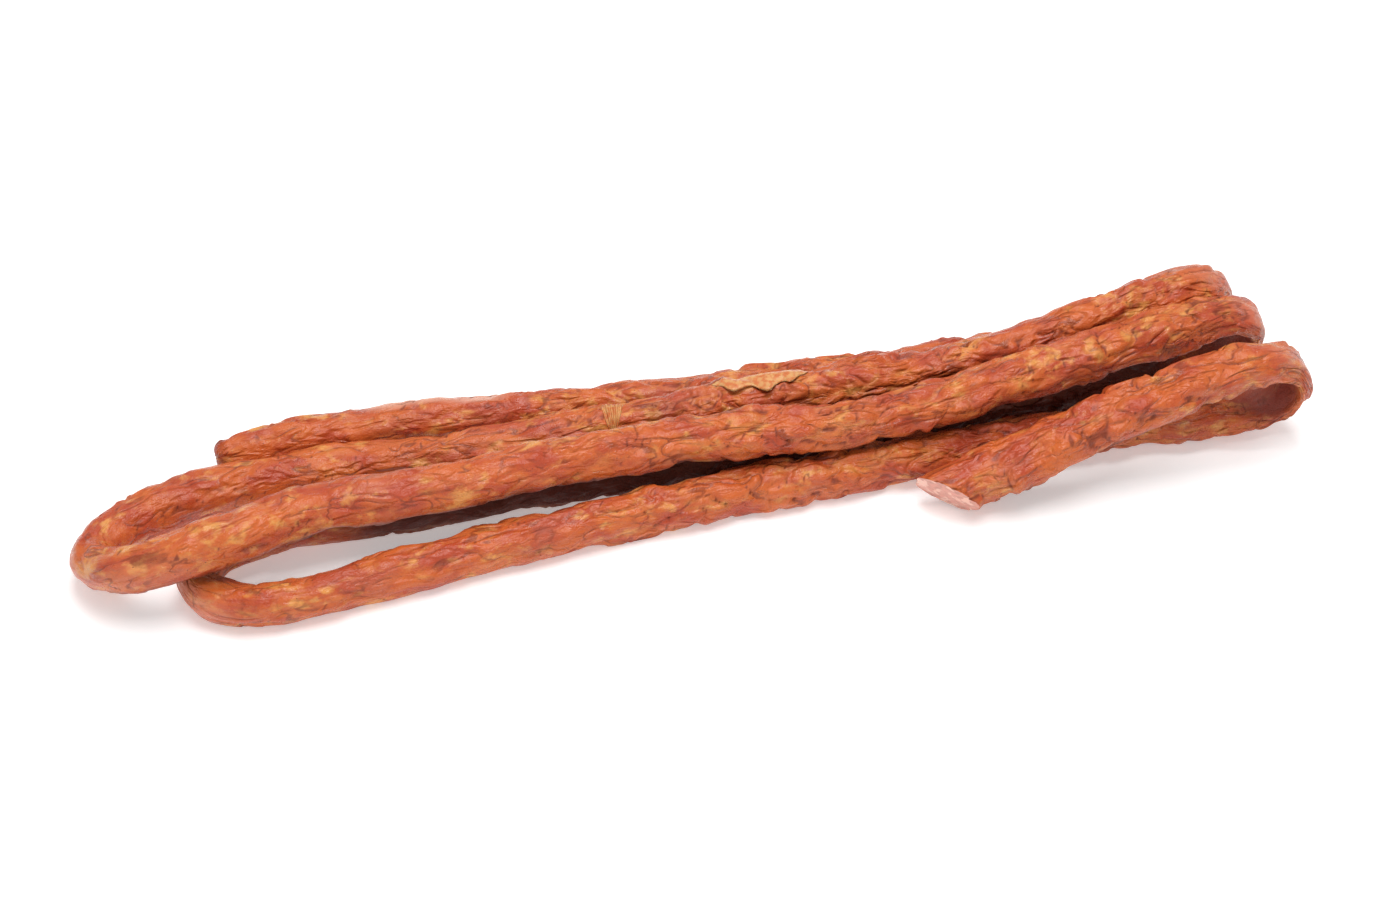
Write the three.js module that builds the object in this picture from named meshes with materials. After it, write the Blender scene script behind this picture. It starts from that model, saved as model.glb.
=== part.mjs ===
// A kabanos: one long, thin, smoked and dried sausage, folded up into a bundle of six arms.
//
// The bundle lies along X, with its three stick loops (where it hung over the smoking stick) at
// +X and its two loose bends at -X. The front of the bundle faces -Y, and it rests on Z = 0.
// All lengths are in millimetres.

import * as THREE from "three";
import { mergeVertices } from "three/addons/utils/BufferGeometryUtils.js";

// ---- driving dimensions ----
const BUNDLE_LENGTH = 446; // outside of the upper bend to outside of the front stick loop
const STRAND_DIAMETER = 16.4; // the sausage itself, on its straight arms
const ARM_CLEARANCE = 0.9; // between two arms that lie side by side or one on the other
const LOOP_RISE = 32; // stick loop: middle of its lower arm to middle of its upper arm
const LOOP_REACH = 18.5; // how far a stick loop bulges beyond its two arms
const STICK_MARK = 0.52; // share of the thickness that the stick pressed out of each loop
const SETTLE_DEPTH = 1.2; // the underside is pressed flat this far up, where it rests

const SIDES = 12; // corners of the strand's section
const STEP_LENGTH = 8.5; // between two sections along the strand

// ---- derived ----
const RADIUS = STRAND_DIAMETER / 2;
const PITCH = STRAND_DIAMETER + ARM_CLEARANCE;
const HALF_LENGTH = BUNDLE_LENGTH / 2;

// ---- the route of the strand's middle ----

// A stop of the route: its share of the half length along, its lane across and its layer up,
// both counted in strands. Swell is how much thicker than usual the strand is there.
function stop(share, lane, layer, swell = 1) {
  const at = new THREE.Vector3(share * HALF_LENGTH, lane * PITCH, RADIUS + layer * PITCH);
  return { at, swell, mark: 0 };
}

// A stop in a loose bend: how far it is from that end of the bundle is counted in strands too.
function bend(inset, lane, layer, swell = 1) {
  const bent = stop(0, lane, layer, swell);
  bent.at.x = inset * PITCH - HALF_LENGTH;
  return bent;
}

// A stop on an arm that climbs to a stick loop: its height is a portion of the loop's rise.
function climb(share, lane, portion, swell = 1) {
  const climbing = stop(share, lane, 0, swell);
  climbing.at.z = RADIUS + portion * LOOP_RISE;
  return climbing;
}

// The stops round a stick loop, from its lower arm over the tip to its upper arm. The tip stays
// short of the end of the bundle by so many strands.
function stickLoop(short, lowerLane, upperLane, portion) {
  const tipX = HALF_LENGTH - short * PITCH - RADIUS * (1 - STICK_MARK);
  const startX = tipX - LOOP_REACH;
  const lower = new THREE.Vector3(startX, lowerLane * PITCH, RADIUS);
  const upper = new THREE.Vector3(startX, upperLane * PITCH, RADIUS + portion * LOOP_RISE);
  return [0, 0.25, 0.5, 0.75, 1].map((turn) => {
    const angle = turn * Math.PI;
    const at = lower.clone().lerp(upper, (1 - Math.cos(angle)) / 2);
    at.x += Math.sin(angle) * LOOP_REACH;
    return { at, swell: 1, mark: THREE.MathUtils.lerp(0.4, 1, Math.sin(angle)) };
  });
}

const BACK_ARM = [
  stop(-0.747, 2.66, 0, 0.95),
  stop(-0.624, 2.8, 0),
  stop(-0.456, 2.72, 0),
  stop(-0.13, 2.28, 0),
  stop(0.185, 2.0, 0),
  stop(0.53, 1.8, 0),
];
const SECOND_ARM = [
  climb(0.698, 0.78, 0.83),
  stop(0.442, 0.75, 0.86),
  stop(0.185, 0.95, 0.65),
  stop(-0.111, 1.22, 0.35),
  stop(-0.456, 1.6, 0),
  stop(-0.643, 1.76, 0, 1.06),
];
const UPPER_BEND = [
  bend(2.69, 1.56, 0.03, 1.1),
  bend(1.42, 1.14, 0.04, 1.1),
  bend(0.51, 0.44, 0.08, 1.05),
  bend(0.64, -0.42, 0.3, 1.08),
  bend(1.55, -1.08, 0.86, 1.06),
  bend(3.07, -1.0, 1.1, 1.12),
];
const THIRD_ARM = [
  stop(-0.643, -0.56, 1.06, 1.12),
  stop(-0.426, -0.45, 1.02, 1.02),
  stop(-0.111, -0.28, 1.02),
  stop(0.126, -0.42, 1.0),
  stop(0.254, -0.68, 1.02, 0.82),
  stop(0.343, -0.62, 1.08, 0.95),
  stop(0.461, -0.52, 1.24),
  climb(0.678, -0.36, 0.88),
];
const HIDDEN_ARM = [
  stop(0.58, 0.3, 0),
  stop(0.185, 0.15, 0),
  stop(-0.209, 0.15, 0),
  stop(-0.555, 0.15, 0),
  stop(-0.703, 0.05, 0),
];
const LOWER_BEND = [
  bend(2.69, -0.35, 0),
  bend(2.37, -1.05, 0),
  bend(3.0, -1.66, 0),
  bend(3.96, -1.86, 0),
  bend(5.1, -1.78, 0),
];
const FRONT_ARM = [
  stop(-0.308, -1.3, 0),
  stop(0.087, -0.98, 0),
  stop(0.353, -0.92, 0),
  stop(0.629, -0.95, 0),
];
const SHORT_ARM = [
  climb(0.698, -1.9, 0.76, 1.06),
  stop(0.54, -2.07, 0.8, 1.12),
  stop(0.364, -2.2, 0.08, 1.1),
];

// From the closed end of the back arm to the cut end of the short one.
const ROUTE = [
  ...BACK_ARM,
  ...stickLoop(0.53, 1.55, 0.92, 1.02),
  ...SECOND_ARM,
  ...UPPER_BEND,
  ...THIRD_ARM,
  ...stickLoop(0.28, 0.5, -0.13, 1).reverse(),
  ...HIDDEN_ARM,
  ...LOWER_BEND,
  ...FRONT_ARM,
  ...stickLoop(0, -1.25, -1.78, 1),
  ...SHORT_ARM,
];

const PATH = new THREE.CatmullRomCurve3(ROUTE.map((s) => s.at), false, "centripetal");
const STEPS = Math.round(PATH.getLength() / STEP_LENGTH);

// The value that the stops hold, blended to any place along the strand (0 at its closed end).
function alongRoute(place, value) {
  const index = PATH.getUtoTmapping(place) * (ROUTE.length - 1);
  const first = Math.min(Math.floor(index), ROUTE.length - 2);
  return THREE.MathUtils.lerp(value(ROUTE[first]), value(ROUTE[first + 1]), index - first);
}

// ---- the strand's section at each step ----

const CLOSED_END = [0.72, 0.94, 0.99]; // radius shares over the first sections
const CUT_SLANT = new THREE.Vector3(0, 0.8, 0.32); // run of the cut along the strand, for each mm
const CUT_SECTIONS = 3; // sections over which the slant builds up

function frameAt(step, frames) {
  const place = step / STEPS;
  const span = 0.5 / STEPS;
  const before = PATH.getTangentAt(Math.max(place - span, 0));
  const after = PATH.getTangentAt(Math.min(place + span, 1));
  return {
    middle: PATH.getPointAt(place),
    along: frames.tangents[step],
    side: frames.normals[step],
    up: frames.binormals[step],
    inward: after.sub(before).normalize(), // towards the inside of the bend
    radius: RADIUS * alongRoute(place, (s) => s.swell) * (CLOSED_END[step] ?? 1),
    mark: STICK_MARK * alongRoute(place, (s) => s.mark),
    slant: Math.max(0, 1 - (STEPS - step) / CUT_SECTIONS),
  };
}

// Where a corner of the plain cylinder goes on the strand: x and z lie across, step is along.
function placeCorner(x, z, frame) {
  const offset = frame.side.clone().multiplyScalar(x * frame.radius);
  offset.addScaledVector(frame.up, z * frame.radius);
  const depth = offset.dot(frame.inward);
  offset.addScaledVector(frame.inward, -depth * frame.mark);
  offset.addScaledVector(frame.along, offset.dot(CUT_SLANT) * frame.slant);
  const corner = frame.middle.clone().add(offset);
  if (corner.z < SETTLE_DEPTH) corner.z = 0;
  return corner;
}

function strandGeometry() {
  const frames = PATH.computeFrenetFrames(STEPS, false);
  const rings = frames.tangents.map((tangent, step) => frameAt(step, frames));
  const plain = new THREE.CylinderGeometry(1, 1, 1, SIDES, STEPS);
  plain.deleteAttribute("normal");
  plain.deleteAttribute("uv");
  const geometry = mergeVertices(plain, 1e-5);
  const position = geometry.attributes.position;
  for (let i = 0; i < position.count; i += 1) {
    const step = Math.round((0.5 - position.getY(i)) * STEPS);
    const corner = placeCorner(position.getX(i), position.getZ(i), rings[step]);
    position.setXYZ(i, corner.x, corner.y, corner.z);
  }
  geometry.computeBoundingBox();
  const centre = geometry.boundingBox.getCenter(new THREE.Vector3());
  geometry.translate(-centre.x, -centre.y, 0);
  geometry.computeVertexNormals();
  return geometry;
}

const skin = new THREE.MeshStandardMaterial({ color: 0xa8502f, roughness: 0.45, metalness: 0 });
const sausage = new THREE.Mesh(strandGeometry(), skin);
sausage.name = "sausage";

const bundle = new THREE.Group();
bundle.add(sausage);

export default bundle;
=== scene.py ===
import math

import bmesh
import bpy
import numpy as np
from bpy.props import FloatProperty, FloatVectorProperty, IntProperty, PointerProperty
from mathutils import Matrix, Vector, noise


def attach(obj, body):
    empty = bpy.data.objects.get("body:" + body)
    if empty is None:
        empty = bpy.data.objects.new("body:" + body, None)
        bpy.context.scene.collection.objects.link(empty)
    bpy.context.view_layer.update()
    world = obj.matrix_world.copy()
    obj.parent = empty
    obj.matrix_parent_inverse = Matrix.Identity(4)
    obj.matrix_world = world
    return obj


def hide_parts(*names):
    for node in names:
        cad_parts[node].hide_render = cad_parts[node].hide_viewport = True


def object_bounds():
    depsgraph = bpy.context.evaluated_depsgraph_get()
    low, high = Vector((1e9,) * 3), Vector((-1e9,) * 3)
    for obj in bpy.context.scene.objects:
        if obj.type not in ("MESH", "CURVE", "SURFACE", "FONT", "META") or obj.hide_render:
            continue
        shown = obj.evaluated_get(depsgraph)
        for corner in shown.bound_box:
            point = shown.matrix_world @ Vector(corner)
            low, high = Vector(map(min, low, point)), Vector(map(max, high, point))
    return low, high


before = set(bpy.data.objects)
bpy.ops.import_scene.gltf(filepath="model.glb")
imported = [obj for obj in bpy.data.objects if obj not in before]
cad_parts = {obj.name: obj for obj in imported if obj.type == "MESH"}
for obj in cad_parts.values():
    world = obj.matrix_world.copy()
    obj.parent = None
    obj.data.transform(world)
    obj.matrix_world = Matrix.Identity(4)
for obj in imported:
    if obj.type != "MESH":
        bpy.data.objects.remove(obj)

bl_info = {
    "name": "Kabanos bundle",
    "version": (1, 0, 0),
    "blender": (4, 5, 0),
    "location": "3D View > Sidebar > Kabanos",
    "description": "A folded kabanos with a wrinkled smoked skin, made round its packed frame",
    "category": "Object",
}

CAD_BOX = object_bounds()
STRAND_NODE = "sausage"
MM = 0.001


# ---- settings -----------------------------------------------------------------------------

class KabanosShape(bpy.types.PropertyGroup):
    """Sizes of the skin's folds"""

    ring_step: FloatProperty(
        name="Ring step", description="Distance between two rings of the fine skin",
        default=1.05 * MM, subtype="DISTANCE")
    around: IntProperty(
        name="Around", description="Corners in each ring of the fine skin", default=44)
    fold_depth: FloatProperty(
        name="Fold depth", description="Depth of the long folds of the dried skin",
        default=1.8 * MM, subtype="DISTANCE")
    crease_depth: FloatProperty(
        name="Crease depth", description="Depth of the small creases between the folds",
        default=0.7 * MM, subtype="DISTANCE")
    lump_height: FloatProperty(
        name="Lump height", description="How far the section swells and flattens along the strand",
        default=0.75 * MM, subtype="DISTANCE")


def colour(name, description, default):
    return FloatVectorProperty(
        name=name, description=description, default=default, subtype="COLOR")


class KabanosColours(bpy.types.PropertyGroup):
    """Colours of skin and meat"""

    skin: colour("Skin", "Smoked skin", (0.58, 0.12, 0.024))
    red: colour("Red", "Lean meat under the skin", (0.44, 0.058, 0.02))
    mauve: colour("Mauve", "Thin skin over lean meat", (0.47, 0.11, 0.055))
    stretched: colour("Stretched", "Taut skin on the outside of a bend", (0.66, 0.21, 0.135))
    fat: colour("Fat", "Fat showing through the skin", (0.74, 0.33, 0.085))
    # Painted shade at the bottom of the creases and in the end's collar, on skin that is darker
    # there too; also the colour of pepper
    crease: colour("Crease", "Bottom of a crease, and pepper", (0.15, 0.02, 0.006))
    pressed: colour("Pressed", "Smooth skin that lay on the smoking stick", (0.2, 0.035, 0.022))
    # Bare meat at the closed end and on its knob, and painted shade in the recess between two arms
    lean_and_recess_shade: colour("Lean", "Bare lean meat, at the closed end and in the recess", (0.26, 0.03, 0.014))
    # Painted shade: the dark colour put on the undersides of raised arms and on the hidden arm
    under_shade: colour("Damp", "Skin that stayed moist under other arms", (0.07, 0.009, 0.003))
    casing: colour("Casing", "Loose casing that stands off the meat", (0.86, 0.55, 0.42))
    frill: colour("Frill", "Thin dried pieces of casing", (0.68, 0.33, 0.12))
    meat: colour("Meat", "Cut meat", (0.7, 0.31, 0.24))
    meat_fat: colour("Meat fat", "Pieces of fat in the cut", (0.84, 0.52, 0.42))


class KabanosStage(bpy.types.PropertyGroup):
    """Camera and light"""

    azimuth: FloatProperty(
        name="Azimuth", description="Camera direction, from the front towards the right",
        default=math.radians(-14), subtype="ANGLE")
    elevation: FloatProperty(
        name="Elevation", description="Camera height above the horizon",
        default=math.radians(43), subtype="ANGLE")
    distance: FloatProperty(
        name="Distance", description="From the camera to what it looks at",
        default=0.834, subtype="DISTANCE")
    lens: FloatProperty(name="Lens", description="Focal length in millimetres", default=60.0)
    key_power: FloatProperty(name="Key light", description="Watts of the softbox", default=9.2)
    fill_power: FloatProperty(name="Fill light", description="Watts of the front fill", default=1.2)
    sky: FloatProperty(name="Sky", description="Strength of the white surroundings", default=0.5)


# ---- the strand, as the frame gives it ------------------------------------------------------

FRAME_WELD = 1e-6  # metres within which corners of the frame's solid are one
BEND_REACH = 9  # rings each way that the measured bend is averaged over


def walk_rings(mesh):
    """The corners of each ring of the strand's solid, in order, from its closed to its cut end."""
    bm = bmesh.new()
    bm.from_mesh(mesh)
    bmesh.ops.remove_doubles(bm, verts=bm.verts, dist=FRAME_WELD)
    corners = max(len(v.link_edges) for v in bm.verts)
    poles = [v for v in bm.verts if len(v.link_edges) == corners]
    pole = min(poles, key=lambda v: sum(e.calc_length() for e in v.link_edges))
    seen, rings = {pole}, []
    ring = {e.other_vert(pole) for e in pole.link_edges}
    while len(ring) == corners:
        rings.append(order_ring(ring, rings[-1] if rings else None))
        seen |= ring
        ring = {e.other_vert(v) for v in ring for e in v.link_edges} - seen
    result = np.array([[tuple(v.co) for v in ring] for ring in rings])
    bm.free()
    return result


def order_ring(ring, previous):
    """The ring's corners in the order of their edges, starting beside the previous ring's start."""
    first = min(ring, key=lambda v: tuple(v.co))
    loop = [first]
    while len(loop) < len(ring):
        onward = [e.other_vert(loop[-1]) for e in loop[-1].link_edges]
        onward = [v for v in onward if v in ring and v not in loop]
        loop.append(min(onward, key=lambda v: tuple(v.co)) if len(loop) == 1 else onward[0])
    if previous is None:
        return loop
    middle = sum((v.co for v in loop), Vector()) / len(loop)
    middle_before = sum((v.co for v in previous), Vector()) / len(loop)
    before = [v.co - middle_before for v in previous]

    def mismatch(order):
        return sum((v.co - middle - b).length_squared for v, b in zip(order, before))

    orders = [way[i:] + way[:i] for way in (loop, loop[::-1]) for i in range(len(loop))]
    return min(orders, key=mismatch)


def curve_through(values, places, closed):
    """Values at fractional places along axis 0, on a smooth curve through the given ones."""
    count = len(values)
    base = np.floor(places).astype(int)
    if not closed:
        base = np.clip(base, 0, count - 2)
    t = (places - base).reshape((-1,) + (1,) * (values.ndim - 1))

    def at(i):
        return values[i % count] if closed else values[np.clip(i, 0, count - 1)]

    p0, p1, p2, p3 = at(base - 1), at(base), at(base + 1), at(base + 2)
    curve = 2 * p0 - 5 * p1 + 4 * p2 - p3
    twist = 3 * (p1 - p2) + p3 - p0
    return p1 + 0.5 * t * (p2 - p0 + t * (curve + t * twist))


class Strand:
    """The fine rings of the strand, and where each corner lies along, around and in its bends."""

    def __init__(self, mesh, ring_step, around):
        rings = walk_rings(mesh)
        middles = rings.mean(axis=1)
        lengths = np.linalg.norm(np.diff(middles, axis=0), axis=1)
        self.length = lengths.sum()
        self.count = int(self.length / ring_step)
        travelled = np.concatenate([[0], np.cumsum(lengths)])
        self.s = np.linspace(0, self.length, self.count)
        places = np.interp(self.s, travelled, np.arange(len(middles)))
        fine = curve_through(rings, places, closed=False)
        turn = np.arange(around) / around * rings.shape[1]
        self.points = curve_through(fine.transpose(1, 0, 2), turn, closed=True).transpose(1, 0, 2)
        self.middle = self.points.mean(axis=1)
        self.tangent = unit(np.gradient(self.middle, axis=0))
        self.angle = np.arange(around) / around * 2 * math.pi
        from_middle = self.points - self.middle[:, None]
        self.outward = unit(from_middle)
        self.radius = np.linalg.norm(from_middle, axis=2)
        turning = np.gradient(self.tangent, axis=0) / ring_step
        self.bend = smooth(turning, BEND_REACH)  # towards the inside of the bend, in 1 / m


def unit(v):
    """The vectors along the last axis, each made one long."""
    return v / np.maximum(np.linalg.norm(v, axis=-1, keepdims=True), 1e-12)


def smooth(values, reach):
    """Running mean over so many neighbours each way along axis 0."""
    kernel = np.ones(2 * reach + 1) / (2 * reach + 1)
    padded = np.pad(values, [(reach, reach)] + [(0, 0)] * (values.ndim - 1), mode="edge")
    return np.apply_along_axis(lambda column: np.convolve(column, kernel, mode="valid"), 0, padded)


def ramp(x, low, high):
    """0 below low, 1 above high, and a smooth step between."""
    t = np.clip((x - low) / (high - low), 0, 1)
    return t * t * (3 - 2 * t)


SEED_SHIFT = 17.31  # how far apart the noise of two seeds lies
AXIS_SEED = 3.7  # added to the seed for each axis that noise pushes along


def noise_field(points, size, seed):
    """Soft noise from -1 to 1 at each point, with features of the given size along each axis."""
    scaled = points.reshape(-1, 3) / np.asarray(size) + seed * SEED_SHIFT
    values = [noise.noise(Vector(p)) for p in scaled]
    return np.array(values).reshape(points.shape[:-1])


# ---- the folds of the skin -------------------------------------------------------------------
# Places and sizes here are millimetres on the straightened strand, from its closed end.

# Patterns of soft noise: the size of a feature along and across the strand, and a seed.
WANDER = (10, 6, 6), 1  # pushes the folds about
LONG_FOLDS = (16, 7, 7), 2
SMALL_FOLDS = (9.5, 4.2, 4.2), 3
CROSS_FOLDS = (5.5, 12, 12), 4
PATCHES = (24, 9, 9), 5  # where the folds run deeper
CRACKS = (12, 8, 8), 6  # where the skin is cracked across
SWELLING = (42, 10, 10), 7
LUMPS = (13, 9, 9), 8
RAGGED = (14, 5, 5), 9  # the edge of the pale streak
RUFFLE = (2.6, 2.6, 2.6), 11  # the surface of both ends

WANDER_AMOUNT, RAGGED_AMOUNT = 2.4, 0.15
CREASE_WIDTH = 0.05  # half of a crease, in noise
CROSS_CREASE_WIDTH = 0.04
STEEP_SIDE, GENTLE_SIDE = 0.2, 0.36  # noise at which each side of a fold is at its full height
GENTLE_HEIGHT = 0.9  # of the steep side's height
CROSS_SHARE = 1.1  # of the crease depth, in folds across
SWELLING_SHARE, LUMP_SHARE = 1.3, 1.2  # of the lump height

# How much of the folds' depth is left, and what is taken off it in different places.
CALM_DEPTH, LOOP_DEPTH = 0.6, 0.55  # everywhere, and added towards the stick loops
TAUT_LOSS, PRESSED_LOSS, LOOSE_BEND_LOSS = 0.5, 0.85, 0.6

# Listed marks: where each starts and ends, the way it faces, how far round it goes and how
# softly it starts and ends.
PALE_STREAK = (54, 104, (0.1, 0.43, 0.9), 0.25)
# Painted shade: the recess where two arms meet is darkened
DARK_RECESS = (612, 622, (0, -0.9, 0.3), 0.75, 4.0)
# Painted shade over the arm that lies hidden under the others
SHADED_HIDDEN_ARM = (1325, 1640, (0, 0, 1), 3.0, 12.0)
END_KNOB = (-9, 1.5, (0, 0.5, 0.85), 0.25, 2.0)
# A groove round the closed end, which gets painted shade through the crease mask
END_COLLAR = (17.5, 17.9, (0, -0.3, 0.9), 1.3, 1.2)
STREAK_RISE, RECESS_DEPTH, KNOB_RISE, COLLAR_DEPTH = 0.4, 1.9, 1.2, 1.3
END_LEAN = 0.45  # how far bare meat shows at the closed end

# Where each mask starts and where it is full.
SQUEEZED, STRETCHED = (0.06, 0.22), (0.12, 0.42)  # the strand's radius over the bend's
STICK_SIDE, LOOP_SIDE = (0.72, 0.86), (-0.5, 0.3)  # -1 at the loose bends, 1 at the stick loops
PATCHED, CRACKED = (-0.3, 0.15), (0.12, 0.3)  # noise
STREAKED = (0.84, 1.0)  # 1 where the skin faces the pale streak's way
UNDERSIDE = (0.3, 0.9)  # 1 where the skin faces down
RAISED = (12, 18)  # height of the middle of an arm that lies on other arms

# How strongly the masks show: painted shade in the end's collar, fat on the lips of creases, and
# bare meat on the knob with painted shade in the recess.
COLLAR_SHADE, LIP_SHADE, BARE_SHADE = 0.8, 0.4, 0.7

ARM_ENDS = (380, 840, 1277, 1697, 2116)  # the middle of each loop and bend
USUAL_RADIUS = 8
ARM_REACH = 0.024  # metres between the middles of two arms that may touch
NEXT_REACH = 0.03  # metres of strand within which rings belong to one stretch
SKIN_GAP = 0.05  # kept by each of two skins that meet


def unrolled(strand):
    """Each corner's place in millimetres on the straightened strand."""
    flat = np.empty(strand.points.shape)
    mean_radius = strand.radius.mean() / MM
    flat[..., 0] = strand.s[:, None] / MM
    flat[..., 1] = mean_radius * np.cos(strand.angle)
    flat[..., 2] = mean_radius * np.sin(strand.angle)
    return flat


def warped(flat, amount, size, seed):
    """The same places, pushed about, so that what follows them wanders."""
    pushed = flat.copy()
    for axis in range(3):
        pushed[..., axis] += amount * noise_field(flat, size, seed + axis * AXIS_SEED)
    return pushed


def folds(places, size, seed, width=CREASE_WIDTH):
    """Folded skin: its height, 0 in creases and 1 on backs, and its creases and their lips."""
    field = noise_field(places, size, seed)
    steep = np.clip(field / STEEP_SIDE, 0, 1) ** 0.6
    gentle = GENTLE_HEIGHT * np.clip(-field / GENTLE_SIDE, 0, 1) ** 0.9
    crease = np.exp(-(field / width) ** 2)
    lip = np.exp(-((field + 2.2 * width) / (1.3 * width)) ** 2)
    return np.where(field > 0, steep, gentle), crease, lip


def spot(strand, start, end, direction, spread, soft=4.0):
    """1 on a stretch of the skin that faces one way, and 0 elsewhere."""
    s = strand.s / MM
    along = ramp(s, start - soft, start + soft) * (1 - ramp(s, end - soft, end + soft))
    facing = (strand.outward * unit(np.array(direction, float))).sum(-1)
    return along[:, None] * ramp(facing, 1 - spread, 1 - 0.4 * spread)


def bend_masks(strand):
    """Where the skin is stretched, pressed by the stick, in a loose bend, or near the loops."""
    # How far the skin is squeezed (above 0) or stretched (below 0) by the bend it is in.
    squeeze = (strand.outward * strand.bend[:, None]).sum(-1) * USUAL_RADIUS * MM
    along = (strand.middle[:, 0] / CAD_BOX[1].x)[:, None]
    inner = ramp(squeeze, *SQUEEZED)
    towards_loops = ramp(along, *LOOP_SIDE)
    stretched = ramp(-squeeze, *STRETCHED)
    stick = inner * ramp(along, *STICK_SIDE)
    return stretched, stick, inner * (1 - towards_loops), towards_loops


def skin_relief(strand, shape):
    """How far each corner moves out, in metres, and the masks that the skin's material reads."""
    flat = unrolled(strand)
    wandering = warped(flat, WANDER_AMOUNT, *WANDER)
    stretched, stick, loose_bend, towards_loops = bend_masks(strand)
    calm = CALM_DEPTH + LOOP_DEPTH * towards_loops
    calm = calm * (1 - TAUT_LOSS * stretched - PRESSED_LOSS * stick - LOOSE_BEND_LOSS * loose_bend)

    long_height, long_crease, long_lip = folds(wandering, *LONG_FOLDS)
    small_height, small_crease, small_lip = folds(wandering, *SMALL_FOLDS)
    cross_height, cross_crease, _ = folds(wandering, *CROSS_FOLDS, CROSS_CREASE_WIDTH)
    patches = ramp(noise_field(flat, *PATCHES), *PATCHED)
    cracks = ramp(noise_field(flat, *CRACKS), *CRACKED)

    relief = shape.fold_depth * long_height * (0.5 + 0.5 * patches) * calm
    relief += shape.crease_depth * small_height * (0.2 + 0.4 * patches) * calm
    relief += CROSS_SHARE * shape.crease_depth * cross_height * cracks * calm
    relief += SWELLING_SHARE * shape.lump_height * noise_field(flat, *SWELLING)
    relief += LUMP_SHARE * shape.lump_height * noise_field(flat, *LUMPS)
    relief -= relief.mean()

    facing = strand.outward @ np.array(PALE_STREAK[2])
    ragged = RAGGED_AMOUNT * noise_field(flat, *RAGGED)
    pale = spot(strand, *PALE_STREAK) * ramp(facing + ragged, *STREAKED)
    recess = spot(strand, *DARK_RECESS)
    knob = spot(strand, *END_KNOB)
    collar = spot(strand, *END_COLLAR)
    relief += STREAK_RISE * MM * pale - RECESS_DEPTH * MM * recess
    relief += KNOB_RISE * MM * knob - COLLAR_DEPTH * MM * collar
    relief = np.minimum(relief, free_space(strand) / 2 - SKIN_GAP * MM)

    # Painted shade in the creases, deepest where the folds run deep, and in the collar at the
    # closed end
    crease = np.maximum(long_crease * (0.5 + 0.5 * patches), 0.5 * small_crease * patches)
    crease = np.maximum(crease * calm, cross_crease * cracks)
    # Painted shade on the undersides of arms that lie on other arms, away from the stick loops
    raised = ramp(strand.middle[:, 2] / MM, *RAISED)[:, None]
    under = raised * (1 - stick) * ramp(-strand.outward[..., 2], *UNDERSIDE)
    masks = {
        "crease": np.clip(np.maximum(crease, COLLAR_SHADE * collar), 0, 1),
        "lip": LIP_SHADE * np.maximum(long_lip, 0.4 * small_lip) * calm,
        "stick": stick,
        "stretch": stretched,
        "even": np.broadcast_to(1 - towards_loops, stick.shape),
        "pale": pale,
        # bare meat on the knob, and painted shade in the recess
        "lean_and_recess_shade": BARE_SHADE * np.maximum(recess, knob),
        "under_shade": np.maximum(spot(strand, *SHADED_HIDDEN_ARM), under),
    }
    return relief, flat, masks


def free_space(strand):
    """How far each corner is from the other arms of the strand, in metres."""
    arm_of = np.searchsorted(ARM_ENDS, strand.s / MM)
    space = np.full(strand.radius.shape, 1.0)
    for arm in range(len(ARM_ENDS) + 1):
        own = np.flatnonzero(arm_of == arm)
        for i in np.flatnonzero(arm_of != arm):
            gaps = np.linalg.norm(strand.middle[own] - strand.middle[i], axis=1)
            j = own[np.argmin(gaps)]
            if gaps.min() > ARM_REACH or abs(i - j) * strand.s[1] < NEXT_REACH:
                continue
            from_axis = strand.points[i] - strand.middle[j]
            from_axis -= np.outer(from_axis @ strand.tangent[j], strand.tangent[j])
            facing = np.argmax(from_axis @ strand.outward[j].T, axis=1)
            gap = np.linalg.norm(from_axis, axis=1) - strand.radius[j][facing]
            space[i] = np.minimum(space[i], gap)
    return space


# ---- building ---------------------------------------------------------------------------------

TUBE_WELD = 1e-7  # metres within which corners of a rolled-up sheet are one


def tube_mesh(name, rings, values):
    """A closed tube through the rings, a flat sheet rolled up. Values are given for each corner."""
    count, around = rings.shape[:2]
    bm = bmesh.new()
    bmesh.ops.create_grid(bm, x_segments=count - 1, y_segments=around, size=1)
    bm.verts.ensure_lookup_table()
    ends = np.array([v.co[:2] for v in bm.verts])
    row = np.rint((ends[:, 0] + 1) / 2 * (count - 1)).astype(int)
    column = np.rint((ends[:, 1] + 1) / 2 * around).astype(int) % around
    layers = {}
    for key, value in values.items():
        kind = bm.verts.layers.float_vector if value.ndim == 3 else bm.verts.layers.float
        layers[key] = kind.new(key)
    for v, i, j in zip(bm.verts, row, column):
        v.co = rings[i, j]
        for key, layer in layers.items():
            v[layer] = values[key][i, j]
    bmesh.ops.remove_doubles(bm, verts=bm.verts, dist=TUBE_WELD)
    bmesh.ops.recalc_face_normals(bm, faces=bm.faces)
    mesh = bpy.data.meshes.new(name)
    bm.to_mesh(mesh)
    bm.free()
    mesh.shade_smooth()
    return mesh


def add_piece(name, mesh, *materials):
    """The mesh as a piece of the object, riding on its one body."""
    piece = bpy.data.objects.new(name, mesh)
    bpy.context.scene.collection.objects.link(piece)
    for material in materials:
        mesh.materials.append(material)
    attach(piece, "root")
    return piece


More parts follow.
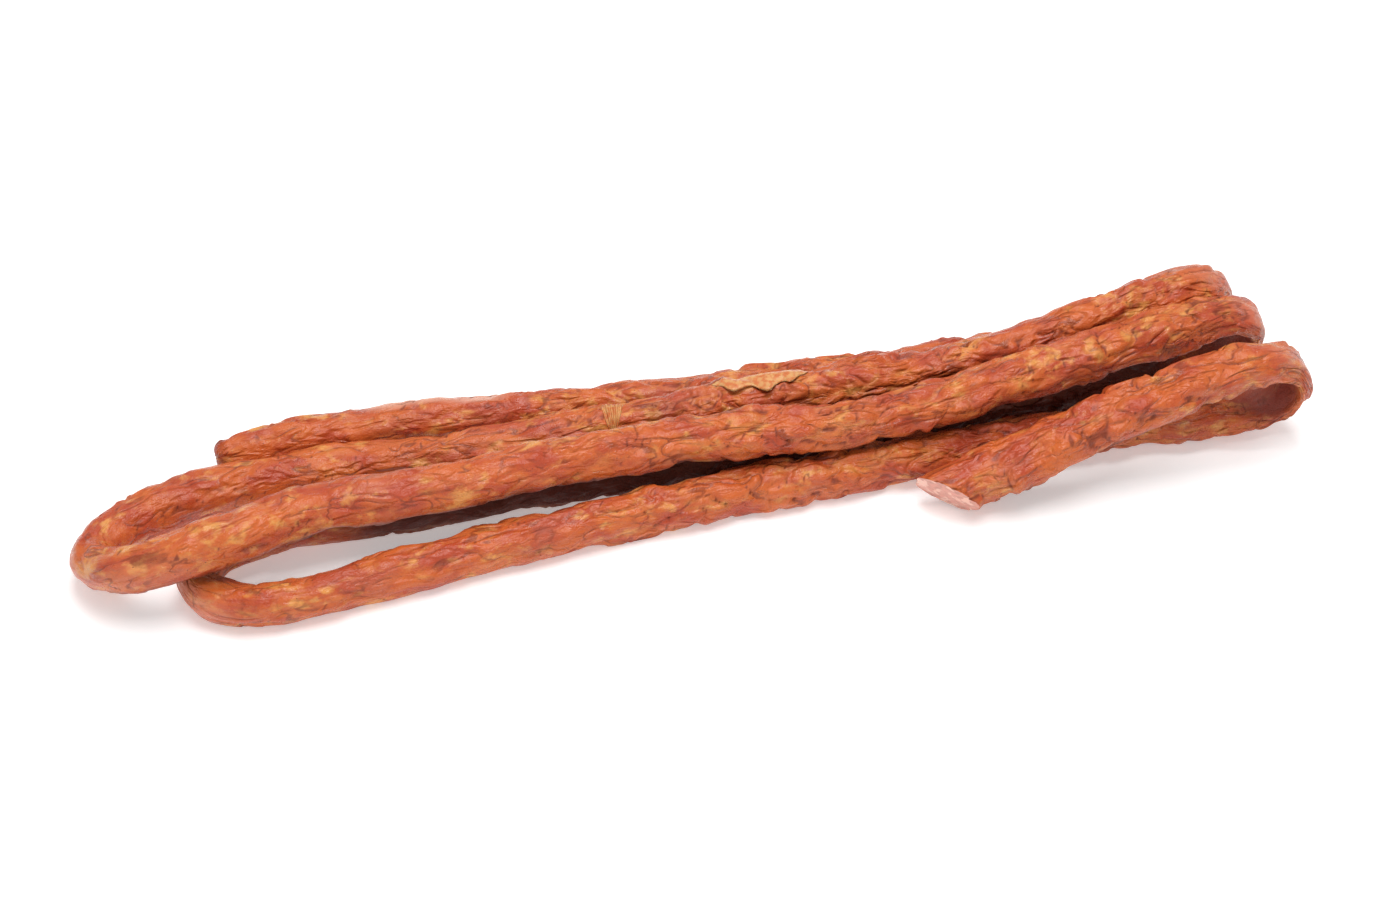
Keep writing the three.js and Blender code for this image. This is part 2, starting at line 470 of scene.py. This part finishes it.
# Both ends: each ring's share of the last ring's size, and how many millimetres it is further out.
TIP_SHARES = (0.98, 0.93, 0.84, 0.72, 0.58, 0.44, 0.3, 0.18, 0.08, 0.0)
TIP_RISES = (0.6, 1.3, 2.0, 2.6, 3.0, 3.2, 3.2, 3.0, 2.8, 2.7)
CUT_SHARES = (0.985, 0.95, 0.9, 0.82, 0.73, 0.64, 0.55, 0.46, 0.37, 0.28, 0.19, 0.1, 0.0)
CUT_RISES = (0.1, -0.1, -0.2, -0.1, 0.05, 0.15, 0.2, 0.25, 0.25, 0.3, 0.3, 0.3, 0.3)
END_TRAVEL = 6  # how far an end's middle lies past its edge, for the noise
BARE_RINGS = 2  # of the strand, next to the closed end, that show bare meat too
PUCKERS = 9  # round the closed end
PUCKER_DEPTH, RUFFLE_DEPTH = 0.8, 0.3
PUCKER_RISE = 0.5  # rings that rise less than this have no puckers


def with_ends(strand, relief, flat, masks):
    """The folded rings with both ends closed, as rings and per-corner values for the mesh."""
    points = strand.points + strand.outward * relief[..., None]
    points[..., 2] = np.maximum(points[..., 2], 0)
    tip = end_cap(points[0], strand.middle[0], -strand.tangent[0], TIP_SHARES, TIP_RISES)
    cut_middle = points[-1].mean(axis=0)
    cut = end_cap(points[-1], cut_middle, strand.tangent[-1], CUT_SHARES, CUT_RISES)
    rings = np.concatenate([tip[::-1], points, cut])
    rings[..., 2] = np.maximum(rings[..., 2], 0)

    tip_places = shrunk(flat[0], TIP_SHARES, -1)[::-1]
    cut_places = shrunk(flat[-1], CUT_SHARES, 1)
    values = {"strand": np.concatenate([tip_places, flat, cut_places])}
    for key, mask in masks.items():
        tip_mask = np.repeat(mask[:1], len(TIP_SHARES), axis=0)
        cut_mask = np.repeat(mask[-1:], len(CUT_SHARES), axis=0)
        values[key] = np.concatenate([tip_mask, mask, cut_mask])
    values["lean_and_recess_shade"][:len(TIP_SHARES) + BARE_RINGS] = END_LEAN
    values["cut"] = np.zeros(rings.shape[:2])
    values["cut"][-len(CUT_SHARES):] = 1
    return rings, values


def end_cap(ring, middle, direction, shares, rises):
    """Rings that close an end, from the last ring to a point."""
    turn = np.arange(len(ring)) / len(ring) * 2 * math.pi
    caps = []
    for share, rise in zip(shares, rises):
        pucker = PUCKER_DEPTH * share * (1 - share) * np.sin(PUCKERS * turn) * (rise > PUCKER_RISE)
        ruffle = pucker + RUFFLE_DEPTH * share * noise_field(ring / MM, *RUFFLE)
        out = direction * MM * (rise + np.reshape(ruffle, (-1, 1)))
        caps.append(middle + (ring - middle) * share + out)
    return np.array(caps)


def shrunk(flat_ring, shares, step):
    """The straightened places of an end's rings, each nearer the middle and a little further on."""
    places = []
    for share in shares:
        place = flat_ring * (1, share, share)
        place[:, 0] += step * (1 - share) * END_TRAVEL
        places.append(place)
    return np.array(places)


# ---- loose casing ------------------------------------------------------------------------------
# Places and sizes here are millimetres. A turn is radians from straight up, towards the back.

FRILL_GRID, FAN_GRID = (90, 9), (26, 57)  # lines of each sheet, and corners in each line
EDGE_FADE = 0.4  # below 1, the sheets keep their thickness almost up to their edges

FRILL_START, FRILL_END = 561, 598
FRILL_TOP = 0.75  # turn at which the frill is joined to the skin
FRILL_LEAST, FRILL_REACH = 0.35, (0.84, 0.16)  # turn it covers: at its ends, then more in waves
FRILL_WAVES, FRILL_UNEVEN = 4.4, 0.35
FRILL_SWAY = 0.5  # of its waves along the strand
FRILL_LIFT, FRILL_WAVE_LIFT = 2.0, 0.7  # off the skin, at its free edge
FRILL_SINK = 0.3  # of its joined edge, into the skin
FRILL_THICKNESS = 0.32

FAN_PLACE = 636
FAN_LOW, FAN_HIGH = -1.25, 0.4  # turns of its ends
FAN_NARROW, FAN_WIDENING = 1.5, 8.5  # its width at the low end, and what the high end has more
FAN_SLANT = 1.5  # how far its high end lies towards the closed end
FAN_PLEATS = 5
FAN_LIFT, PLEAT_HEIGHT = 0.8, 1.1
FAN_SINK = 0.6
FAN_THICKNESS = 0.4

NEAREST = 60  # how strongly the corner that faces the asked way counts over its neighbours


def on_skin(strand, points, s, turn):
    """The place on the skin, so far along and so far round, with the ways out and along there."""
    place = np.interp(s, strand.s / MM, np.arange(strand.count))
    i = int(place)
    share = np.array([1 - (place - i), place - i])
    middle, along = (share @ values[i:i + 2] for values in (strand.middle, strand.tangent))
    direction = np.array([0, math.sin(turn), math.cos(turn)])
    out = unit(direction - along * np.dot(direction, along))
    weight = np.exp(NEAREST * (strand.outward[i:i + 2] @ out - 1))
    reach = np.linalg.norm(points[i:i + 2] - strand.middle[i:i + 2, None], axis=2)
    radius = share @ ((weight * reach).sum(axis=1) / weight.sum(axis=1))
    return middle + out * radius, out, along


def thin_sheet(strand, points, counts, first_across, corner, thickness):
    """A closed thin sheet on the skin, with so many lines, and corners in each line.

    The corner function is given how far a corner is down the sheet and across it. It says where it
    lies along and round the strand, how far off the skin it is, and how far it is moved along.
    """
    lines = np.empty((*counts, 3))
    outs = np.empty((*counts, 3))
    for row, t in enumerate(np.linspace(0, 1, counts[0])):
        for column, u in enumerate(np.linspace(first_across, 1, counts[1])):
            s, turn, lift, shift = corner(t, u)
            place, out, along = on_skin(strand, points, s, turn)
            lines[row, column] = place + out * MM * lift + along * MM * shift
            outs[row, column] = out
    across = np.linspace(0, 1, counts[1])
    ends = np.linspace(0, 1, counts[0])[:, None]
    fade = np.sin(math.pi * across) ** EDGE_FADE * np.sin(math.pi * ends) ** EDGE_FADE
    depth = thickness * MM * fade[..., None]
    rings = np.concatenate([lines, (lines - outs * depth)[:, -2:0:-1]], axis=1)
    for end in (0, -1):
        rings[end] = rings[end].mean(axis=0)
    return tube_mesh("casing", rings, {"strand": rings / MM})


def frill_mesh(strand, points):
    """A wavy edge of dried casing, torn loose along the top of the second arm."""

    def corner(t, u):
        s = FRILL_START + (FRILL_END - FRILL_START) * t
        wave = math.sin(2 * math.pi * (FRILL_WAVES * t + FRILL_UNEVEN * math.sin(5 * t)))
        reach = math.sin(math.pi * t) ** 0.5 * (FRILL_REACH[0] + FRILL_REACH[1] * wave)
        rise = FRILL_LIFT * u ** 0.7 + FRILL_WAVE_LIFT * wave * u * u
        turn = FRILL_TOP - u * (FRILL_LEAST + reach)
        return s, turn, reach * rise - FRILL_SINK, FRILL_SWAY * wave * u

    return thin_sheet(strand, points, FRILL_GRID, 0, corner, FRILL_THICKNESS)


def fan_mesh(strand, points):
    """A fan of fine pleats where the casing is drawn together between two arms."""

    def corner(t, u):
        width = FAN_NARROW + FAN_WIDENING * t ** 0.8
        turn = FAN_LOW + (FAN_HIGH - FAN_LOW) * t
        pleat = 0.5 + 0.5 * math.cos(math.pi * FAN_PLEATS * u + 0.5 * math.sin(5 * t))
        edge = (1 - abs(u) ** 5) * min(1.0, 2.2 * math.sin(math.pi * (0.05 + 0.9 * t)))
        lift = edge * (FAN_LIFT + PLEAT_HEIGHT * pleat) - FAN_SINK
        return FAN_PLACE - FAN_SLANT * t + width / 2 * u, turn, lift, 0

    return thin_sheet(strand, points, FAN_GRID, -1, corner, FAN_THICKNESS)


# ---- materials --------------------------------------------------------------------------------

class Nodes:
    """Short calls that add and join the nodes of one material."""

    def __init__(self, name):
        self.material = bpy.data.materials.new(name)
        self.material.use_nodes = True
        self.tree = self.material.node_tree
        self.shader = self.tree.nodes["Principled BSDF"]

    def add(self, kind, **settings):
        node = self.tree.nodes.new("ShaderNode" + kind)
        for key, value in settings.items():
            setattr(node, key, value)
        return node

    def join(self, source, socket):
        if isinstance(source, bpy.types.NodeSocket):
            self.tree.links.new(source, socket)
        else:
            socket.default_value = source

    def attribute(self, name, output="Fac"):
        return self.add("Attribute", attribute_name=name).outputs[output]

    def noise(self, vector, scale, offset, detail=2.0, roughness=0.5, distortion=0.0):
        mapping = self.add("Mapping")
        self.join(vector, mapping.inputs["Vector"])
        mapping.inputs["Scale"].default_value = scale
        mapping.inputs["Location"].default_value = offset
        node = self.add("TexNoise")
        self.join(mapping.outputs["Vector"], node.inputs["Vector"])
        node.inputs["Scale"].default_value = 1
        node.inputs["Detail"].default_value = detail
        node.inputs["Roughness"].default_value = roughness
        node.inputs["Distortion"].default_value = distortion
        return node.outputs["Fac"]

    def ramp(self, value, low, high, low_result=0.0, high_result=1.0):
        node = self.add("MapRange", interpolation_type="SMOOTHSTEP")
        self.join(value, node.inputs["Value"])
        for key, number in zip(("From Min", "From Max", "To Min", "To Max"),
                               (low, high, low_result, high_result)):
            node.inputs[key].default_value = number
        return node.outputs["Result"]

    def math(self, operation, a, b=0.0):
        node = self.add("Math", operation=operation)
        self.join(a, node.inputs[0])
        self.join(b, node.inputs[1])
        return node.outputs[0]

    def plus(self, a, b):
        return self.math("ADD", a, b)

    def times(self, a, b):
        return self.math("MULTIPLY", a, b)

    def larger(self, a, b):
        return self.math("MAXIMUM", a, b)

    def mix(self, factor, a, b):
        node = self.add("Mix", data_type="RGBA")
        self.join(factor, node.inputs["Factor"])
        self.join(a if isinstance(a, bpy.types.NodeSocket) else (*a, 1), node.inputs["A"])
        self.join(b if isinstance(b, bpy.types.NodeSocket) else (*b, 1), node.inputs["B"])
        return node.outputs["Result"]

    def bump(self, height, distance):
        node = self.add("Bump")
        self.join(height, node.inputs["Height"])
        node.inputs["Distance"].default_value = distance
        node.inputs["Strength"].default_value = 1
        self.join(node.outputs["Normal"], self.shader.inputs["Normal"])

    def put(self, settings):
        for socket, value in settings.items():
            self.shader.inputs[socket].default_value = value

    def flesh(self, weight, radius, scale):
        """Light that goes into the meat and comes out again."""
        self.put({
            "Subsurface Weight": weight,
            "Subsurface Radius": radius,
            "Subsurface Scale": scale,
        })


# Patterns of the materials' noise: how many features there are in a millimetre along and across
# the strand, an offset, and then the detail, roughness and distortion where they aren't the usual.
NO_OFFSET = (0, 0, 0)
RED_CLOUDS = (0.06, 0.11, 0.11), NO_OFFSET, 4, 0.6
MAUVE_CLOUDS = (0.05, 0.1, 0.1), (31, 7, 3), 3
FAT_SPOTS = (0.14, 0.2, 0.2), (5, 60, 9), 3, 0.55, 0.2
FAT_PLACES = (0.04, 0.09, 0.09), (8, 1, 70)
BROKEN_LINES = (0.07, 0.14, 0.14), (50, 3, 4)
WIDE_WRINKLES = (0.075, 0.18, 0.18), (9, 3, 40), 1.5, 0.45, 0.6
NARROW_WRINKLES = (0.16, 0.36, 0.36), (2, 30, 4), 1.5, 0.45, 0.6
GLOSS = (0.3, 0.5, 0.5), (2, 2, 90), 3
ROUGH_PLACES = (0.05, 0.1, 0.1), (4, 44, 14)
SKIN_GRAIN = (1.3, 1.7, 1.7), NO_OFFSET, 3
CASING_CLOUDS = (0.5, 0.5, 0.5), NO_OFFSET, 3
CASING_GRAIN = (1.5, 1.5, 1.5), NO_OFFSET, 3
# The same for the cut, in a metre each way.
MEAT_GRAIN = (420, 420, 420), NO_OFFSET, 4, 0.6
MEAT_FAT = (260, 260, 260), (3, 5, 1), 3

# What each mask adds to the skin's colour: the mask, how much of the colour, and the colour.
TINTS = (
    ("stretch", 0.6, "stretched"),
    ("stick", 0.85, "pressed"),
    # painted shade under the arms and on the hidden arm
    ("under_shade", 0.92, "under_shade"),
    # bare meat at the closed end, and painted shade in the recess
    ("lean_and_recess_shade", 0.7, "lean_and_recess_shade"),
    ("pale", 0.55, "casing"),
)
PEPPER_DENSITY = 0.42  # cells for each millimetre
DARK_MEAT = 0.72  # of the meat's brightness, in its grain
SKIN_BUMP, MEAT_BUMP, CASING_BUMP = 0.9 * MM, 0.3 * MM, 0.2 * MM


def fat_spots(n, place):
    """Fat in spots and on the lips of creases, more of it in some places than in others."""
    spots = n.noise(place, *FAT_SPOTS)
    spots = n.larger(n.ramp(spots, 0.5, 0.7), n.attribute("lip"))
    where = n.noise(place, *FAT_PLACES)
    where = n.ramp(n.plus(where, n.times(n.attribute("even"), 0.06)), 0.43, 0.6)
    return n.times(spots, n.times(where, 0.8))


def pepper(n, place):
    """Dark specks in a few of the cells that the skin is divided into."""
    cells = n.add("TexVoronoi")
    n.join(place, cells.inputs["Vector"])
    cells.inputs["Scale"].default_value = PEPPER_DENSITY
    near = n.ramp(cells.outputs["Distance"], 0.06, 0.12, 1, 0)
    chosen = n.ramp(cells.outputs["Color"], 0.66, 0.7)
    return n.times(n.times(near, chosen), 0.8)


def skin_colour(n, place, wrinkles, colours):
    """Orange-brown smoked skin with red, mauve and fat showing through and pepper, with painted
    shade in the creases, under the arms and in the recess.
    """
    red = n.ramp(n.noise(place, *RED_CLOUDS), 0.4, 0.64)
    mix = n.mix(n.times(red, 0.95), colours.skin, colours.red)
    mauve = n.ramp(n.noise(place, *MAUVE_CLOUDS), 0.48, 0.78)
    mix = n.mix(n.times(mauve, 0.6), mix, colours.mauve)
    mix = n.mix(fat_spots(n, place), mix, colours.fat)
    for mask, amount, tint in TINTS:
        mix = n.mix(n.times(n.attribute(mask), amount), mix, getattr(colours, tint))
    # Painted shade at the bottoms of the creases, on skin that is darker there too
    mix = n.mix(n.ramp(n.attribute("crease"), 0.3, 1.0, 0, 0.75), mix, colours.crease)
    # Painted shade along the valleys of the fine wrinkles that the bump makes
    broken = n.ramp(n.noise(place, *BROKEN_LINES), 0.45, 0.62, 0, 0.6)
    fine = n.times(n.ramp(wrinkles, 0.0, 0.14, 1, 0), broken)
    mix = n.mix(fine, mix, colours.crease)
    return n.mix(pepper(n, place), mix, colours.crease)


def skin_wrinkles(n, place, pattern, width):
    """Fine wrinkles: 0 in their creases and 1 between them."""
    field = n.noise(place, *pattern)
    return n.ramp(n.math("ABSOLUTE", n.math("SUBTRACT", field, 0.5)), 0, width)


def skin_material(colours):
    n = Nodes("smoked_skin")
    place = n.attribute("strand", "Vector")
    stick = n.attribute("stick")
    wide = skin_wrinkles(n, place, WIDE_WRINKLES, 0.16)
    narrow = skin_wrinkles(n, place, NARROW_WRINKLES, 0.12)
    n.join(skin_colour(n, place, wide, colours), n.shader.inputs["Base Color"])

    gloss = n.noise(place, *GLOSS)
    dull = n.larger(n.larger(n.attribute("under_shade"), n.times(stick, 0.7)), n.attribute("crease"))
    roughness = n.plus(n.ramp(gloss, 0.3, 0.7, 0.21, 0.42), n.times(dull, 0.28))
    n.join(roughness, n.shader.inputs["Roughness"])

    wrinkled = n.ramp(n.larger(stick, n.attribute("pale")), 0, 1, 1, 0.15)
    wrinkled = n.times(wrinkled, n.ramp(n.attribute("even"), 0, 1, 1, 0.55))
    rough = n.ramp(n.noise(place, *ROUGH_PLACES), 0.4, 0.62, 0.03, 0.3)
    height = n.times(n.plus(wide, n.times(narrow, rough)), wrinkled)
    grain = n.noise(place, *SKIN_GRAIN)
    n.bump(n.plus(height, n.times(grain, 0.3)), SKIN_BUMP)
    n.flesh(0.06, (1.0, 0.35, 0.2), 1 * MM)
    n.put({"Specular IOR Level": 0.4})
    return n.material


def meat_material(colours):
    n = Nodes("cut_meat")
    place = n.add("TexCoord").outputs["Object"]
    grain = n.noise(place, *MEAT_GRAIN)
    dark_meat = [part * DARK_MEAT for part in colours.meat]
    mix = n.mix(n.ramp(grain, 0.35, 0.7), colours.meat, dark_meat)
    fat = n.ramp(n.noise(place, *MEAT_FAT), 0.52, 0.6)
    mix = n.mix(n.times(fat, 0.85), mix, colours.meat_fat)
    n.join(mix, n.shader.inputs["Base Color"])
    n.put({"Roughness": 0.42})
    n.flesh(0.25, (1.0, 0.4, 0.3), 2 * MM)
    n.bump(grain, MEAT_BUMP)
    return n.material


def casing_material(colours):
    n = Nodes("dried_casing")
    place = n.attribute("strand", "Vector")
    cloud = n.ramp(n.noise(place, *CASING_CLOUDS), 0.4, 0.62, 0, 0.8)
    n.join(n.mix(cloud, colours.frill, colours.skin), n.shader.inputs["Base Color"])
    n.put({"Roughness": 0.32})
    n.flesh(0.3, (1.0, 0.6, 0.3), 1 * MM)
    n.bump(n.noise(place, *CASING_GRAIN), CASING_BUMP)
    return n.material


def floor_material():
    n = Nodes("pale_floor")
    n.put({
        "Base Color": (0.9, 0.9, 0.9, 1),
        "Emission Color": (1, 1, 1, 1),
        "Emission Strength": 0.31,
        "Roughness": 0.8,
        "Specular IOR Level": 0.2,
    })
    return n.material


# ---- operators --------------------------------------------------------------------------------

class KABANOS_OT_strand(bpy.types.Operator):
    """Make the folded sausage, with its wrinkled skin, cut end and loose pieces of casing"""

    bl_idname = "kabanos.strand"
    bl_label = "Make sausage"

    def execute(self, context):
        shape, colours = context.scene.kabanos_shape, context.scene.kabanos_colours
        strand = Strand(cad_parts[STRAND_NODE].data, shape.ring_step, shape.around)
        relief, flat, masks = skin_relief(strand, shape)
        rings, values = with_ends(strand, relief, flat, masks)
        mesh = tube_mesh("kabanos", rings, values)
        piece = add_piece("kabanos", mesh, skin_material(colours), meat_material(colours))
        paint_cut(mesh)
        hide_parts(STRAND_NODE)
        loose = casing_material(colours)
        surface = strand.points + strand.outward * relief[..., None]
        add_piece("casing_frill", frill_mesh(strand, surface), loose)
        add_piece("casing_fan", fan_mesh(strand, surface), loose)
        return {"FINISHED"}


def paint_cut(mesh):
    """Give the faces of the cut end the meat's material, which is the mesh's second one."""
    is_cut = np.zeros(len(mesh.vertices))
    mesh.attributes["cut"].data.foreach_get("value", is_cut)
    for face in mesh.polygons:
        if all(is_cut[i] > 0.5 for i in face.vertices):
            face.material_index = 1


class KABANOS_OT_stage(bpy.types.Operator):
    """Make the floor, the lights and the camera"""

    bl_idname = "kabanos.stage"
    bl_label = "Make stage"

    def execute(self, context):
        stage = context.scene.kabanos_stage
        add_floor()
        add_lights(stage)
        add_camera(stage)
        return {"FINISHED"}


FLOOR_SIZE = 3  # metres from its middle to its sides
LIT_PLACE = (0, 0, 0)  # what the lights point at
LOOK_AT = (-0.0027, -0.0046, 0.01)  # what the camera points at
SENSOR_WIDTH = 36  # millimetres


def add_floor():
    bm = bmesh.new()
    bmesh.ops.create_grid(bm, x_segments=1, y_segments=1, size=FLOOR_SIZE)
    mesh = bpy.data.meshes.new("floor")
    bm.to_mesh(mesh)
    bm.free()
    mesh.materials.append(floor_material())
    floor = bpy.data.objects.new("floor", mesh)
    bpy.context.scene.collection.objects.link(floor)


def add_area(name, place, size, power):
    light = bpy.data.lights.new(name, "AREA")
    light.shape = "RECTANGLE"
    light.size, light.size_y = size
    light.energy = power
    lamp = bpy.data.objects.new(name, light)
    lamp.location = place
    lamp.rotation_euler = (Vector(LIT_PLACE) - Vector(place)).to_track_quat("-Z", "Y").to_euler()
    bpy.context.scene.collection.objects.link(lamp)


def add_lights(stage):
    add_area("softbox", (0.05, 0.0, 1.0), (0.8, 0.6), stage.key_power)
    add_area("front_fill", (-0.7, -1.0, 0.7), (0.8, 0.8), stage.fill_power)
    world = bpy.data.worlds.new("white_room")
    world.use_nodes = True
    background = world.node_tree.nodes["Background"]
    background.inputs["Color"].default_value = (1, 1, 1, 1)
    background.inputs["Strength"].default_value = stage.sky
    bpy.context.scene.world = world
    bpy.context.scene.view_settings.view_transform = "Standard"


def add_camera(stage):
    level = math.cos(stage.elevation)
    back = Vector((
        math.sin(stage.azimuth) * level,
        -math.cos(stage.azimuth) * level,
        math.sin(stage.elevation),
    ))
    camera = bpy.data.cameras.new("camera")
    camera.lens = stage.lens
    camera.sensor_width = SENSOR_WIDTH
    holder = bpy.data.objects.new("camera", camera)
    holder.location = Vector(LOOK_AT) + back * stage.distance
    holder.rotation_euler = (-back).to_track_quat("-Z", "Y").to_euler()
    bpy.context.scene.collection.objects.link(holder)
    bpy.context.scene.camera = holder


# ---- panel and registration -------------------------------------------------------------------

class KABANOS_PT_panel(bpy.types.Panel):
    """Settings and steps of the kabanos bundle"""

    bl_label = "Kabanos"
    bl_space_type = "VIEW_3D"
    bl_region_type = "UI"
    bl_category = "Kabanos"

    def draw(self, context):
        for group in ("kabanos_shape", "kabanos_colours", "kabanos_stage"):
            settings = getattr(context.scene, group)
            box = self.layout.box()
            for key in settings.__annotations__:
                box.prop(settings, key)
        for step in STEPS:
            self.layout.operator(step.bl_idname)


STEPS = (KABANOS_OT_stage, KABANOS_OT_strand)
GROUPS = {
    "kabanos_shape": KabanosShape,
    "kabanos_colours": KabanosColours,
    "kabanos_stage": KabanosStage,
}


def register():
    for cls in (*GROUPS.values(), *STEPS, KABANOS_PT_panel):
        bpy.utils.register_class(cls)
    for name, group in GROUPS.items():
        setattr(bpy.types.Scene, name, PointerProperty(type=group))


def unregister():
    for name in GROUPS:
        delattr(bpy.types.Scene, name)
    for cls in reversed((*GROUPS.values(), *STEPS, KABANOS_PT_panel)):
        bpy.utils.unregister_class(cls)


def main():
    register()
    bpy.ops.kabanos.stage()
    bpy.ops.kabanos.strand()


if __name__ == "__main__":
    main()
